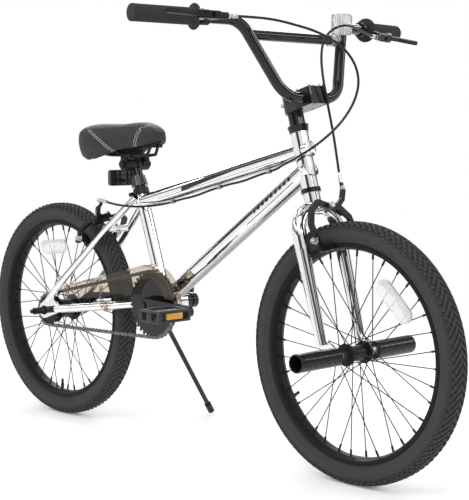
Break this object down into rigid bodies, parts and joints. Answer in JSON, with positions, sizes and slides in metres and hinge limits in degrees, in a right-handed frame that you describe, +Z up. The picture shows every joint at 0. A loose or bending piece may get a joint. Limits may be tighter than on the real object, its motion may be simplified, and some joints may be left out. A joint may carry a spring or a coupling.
{
  "type": "bmx bicycle",
  "caption": "BMX bicycle with chrome tube frame, riser handlebar with crossbar, coaster hub, side-pull rim brakes, front pegs, chain guard and kickstand.",
  "frame": {"origin": "on the ground, midway between the two wheel centres, on the bicycle's middle plane", "axes": "+X forward, +Y to the rider's left, +Z up; steering straight ahead"},
  "size_m": [1.435, 0.7594, 0.9183],
  "materials": {
    "frame_chrome": "mirror-bright plating",
    "black_chrome": "gloss black",
    "black_metal": "satin black",
    "steel": "zinc-bright",
    "alloy_arm": "black anodised",
    "black_plastic": "matt",
    "grip_rubber": "matt",
    "tyre_rubber": "matt moulded",
    "saddle_skin": "matt synthetic",
    "guard_plastic": "smoked translucent",
    "reflector_clear": "prismatic clear",
    "chain_steel": "oiled grey",
    "cable_housing": "gloss black"
  },
  "bodies": {
    "frame": {"head_tube": "frame_chrome", "top_tube": "frame_chrome", "down_tube": "frame_chrome", "seat_tube": "frame_chrome", "bottom_bracket_shell": "frame_chrome", "bottom_bracket_cups": "black_metal", "chainstays": "frame_chrome", "seatstays": "frame_chrome", "seat_clamp": "black_metal", "headset_cups": "black_chrome", "chain_guard": "guard_plastic", "rear_axle": "steel", "coaster_arm": "black_metal", "rear_brake_bolt": "steel", "rear_brake_cable": "cable_housing", "kickstand_mount": "black_metal", "chain": "chain_steel"},
    "seat": {"seatpost": "black_chrome", "saddle_clamp": "black_metal", "saddle_base": "black_plastic", "saddle_cover": "saddle_skin", "rear_reflector": "black_plastic"},
    "fork": {"fork_steerer": "frame_chrome", "fork_blades": "frame_chrome", "headset_spacer": "black_chrome", "stem": "black_chrome", "stem_bolts": "steel", "handlebar": "black_chrome", "grips": "grip_rubber", "lever_brackets": "black_metal", "front_brake_bolt": "steel", "front_brake_cable": "cable_housing", "rear_cable_loop": "cable_housing", "front_reflector": "reflector_clear", "front_axle": "steel", "front_pegs": "black_chrome"},
    "front_wheel": {"front_tyre": "tyre_rubber", "front_inner_tube": "grip_rubber", "front_rim": "black_metal", "front_spokes": "black_metal", "front_hub": "black_metal", "front_wheel_reflector": "reflector_clear"},
    "rear_wheel": {"rear_tyre": "tyre_rubber", "rear_inner_tube": "grip_rubber", "rear_rim": "black_metal", "rear_spokes": "black_metal", "rear_hub": "black_metal", "rear_wheel_reflector": "reflector_clear"},
    "crankset": {"crank": "black_chrome", "chainring": "black_chrome"},
    "driver": {"rear_sprocket": "black_metal"},
    "right_pedal": {"pedal_right": "black_plastic"},
    "left_pedal": {"pedal_left": "black_plastic"},
    "right_lever": {"lever_right": "alloy_arm"},
    "left_lever": {"lever_left": "alloy_arm"},
    "front_c_arm": {"front_brake_c_arm": "alloy_arm"},
    "front_y_arm": {"front_brake_y_arm": "alloy_arm"},
    "rear_c_arm": {"rear_brake_c_arm": "alloy_arm"},
    "rear_y_arm": {"rear_brake_y_arm": "alloy_arm"},
    "kickstand": {"kickstand_leg": "black_chrome"}
  },
  "joints": [
    {"name": "steering", "type": "hinge", "parent": "frame", "child": "fork", "pos_m": [0.43556, 0, 0.24738], "axis": [-0.2723, 0, 0.9622], "range_deg": [-60, 60], "deforming": ["rear_cable_loop"]},
    {"name": "front_wheel_spin", "type": "hinge", "parent": "fork", "child": "front_wheel", "pos_m": [0.4625, 0, 0.255], "axis": [0, 1, 0], "continuous": true},
    {"name": "rear_wheel_spin", "type": "hinge", "parent": "frame", "child": "rear_wheel", "pos_m": [-0.4625, 0, 0.255], "axis": [0, 1, 0], "continuous": true},
    {"name": "crank_spin", "type": "hinge", "parent": "frame", "child": "crankset", "pos_m": [-0.0803, 0, 0.303], "axis": [0, 1, 0], "range_deg": [-15, 285], "deforming": ["chain"]},
    {"name": "driver_spin", "type": "hinge", "parent": "frame", "child": "driver", "pos_m": [-0.4625, 0, 0.255], "axis": [0, 1, 0], "range_deg": [-30, 570]},
    {"name": "pedal_right_spin", "type": "hinge", "parent": "crankset", "child": "right_pedal", "pos_m": [0.0597, -0.133, 0.303], "axis": [0, 1, 0], "continuous": true},
    {"name": "pedal_left_spin", "type": "hinge", "parent": "crankset", "child": "left_pedal", "pos_m": [-0.2203, 0.133, 0.303], "axis": [0, 1, 0], "continuous": true},
    {"name": "lever_right_pull", "type": "hinge", "parent": "fork", "child": "right_lever", "pos_m": [0.32057, -0.26838, 0.89348], "axis": [-0.0026, -0.0126, -0.9999], "range_deg": [0, 18], "stiffness_Nm_per_rad": 0.6, "springref_deg": -11.46},
    {"name": "lever_left_pull", "type": "hinge", "parent": "fork", "child": "left_lever", "pos_m": [0.31757, 0.26799, 0.87638], "axis": [0.3375, 0.0565, 0.9396], "range_deg": [0, 18], "stiffness_Nm_per_rad": 0.6, "springref_deg": -11.46},
    {"name": "front_c_arm_turn", "type": "hinge", "parent": "fork", "child": "front_c_arm", "pos_m": [0.35632, 0, 0.52738], "axis": [0.9622, 0, 0.2723], "range_deg": [0, 1.2]},
    {"name": "front_y_arm_turn", "type": "hinge", "parent": "fork", "child": "front_y_arm", "pos_m": [0.35632, 0, 0.52738], "axis": [0.9622, 0, 0.2723], "range_deg": [-1.2, 0]},
    {"name": "rear_c_arm_turn", "type": "hinge", "parent": "frame", "child": "rear_c_arm", "pos_m": [-0.25913, 0, 0.45837], "axis": [-0.7071, 0, 0.7071], "range_deg": [0, 1.2]},
    {"name": "rear_y_arm_turn", "type": "hinge", "parent": "frame", "child": "rear_y_arm", "pos_m": [-0.25913, 0, 0.45837], "axis": [-0.7071, 0, 0.7071], "range_deg": [-1.2, 0]},
    {"name": "kickstand_fold", "type": "hinge", "parent": "frame", "child": "kickstand", "pos_m": [-0.15, 0.037, 0.268], "axis": [0.2614, 0.7911, 0.553], "range_deg": [0, 84.5]},
    {"name": "seatpost_height", "type": "slide", "parent": "frame", "child": "seat", "axis": [-0.3256, 0, 0.9455], "range_m": [0, 0.06]}
  ],
  "couplings": [
    {"joint": "driver_spin", "follows": "crank_spin", "ratio": 2},
    {"joint": "rear_c_arm_turn", "follows": "lever_right_pull", "ratio": 0.065},
    {"joint": "rear_y_arm_turn", "follows": "lever_right_pull", "ratio": -0.065},
    {"joint": "front_c_arm_turn", "follows": "lever_left_pull", "ratio": 0.065},
    {"joint": "front_y_arm_turn", "follows": "lever_left_pull", "ratio": -0.065}
  ]
}
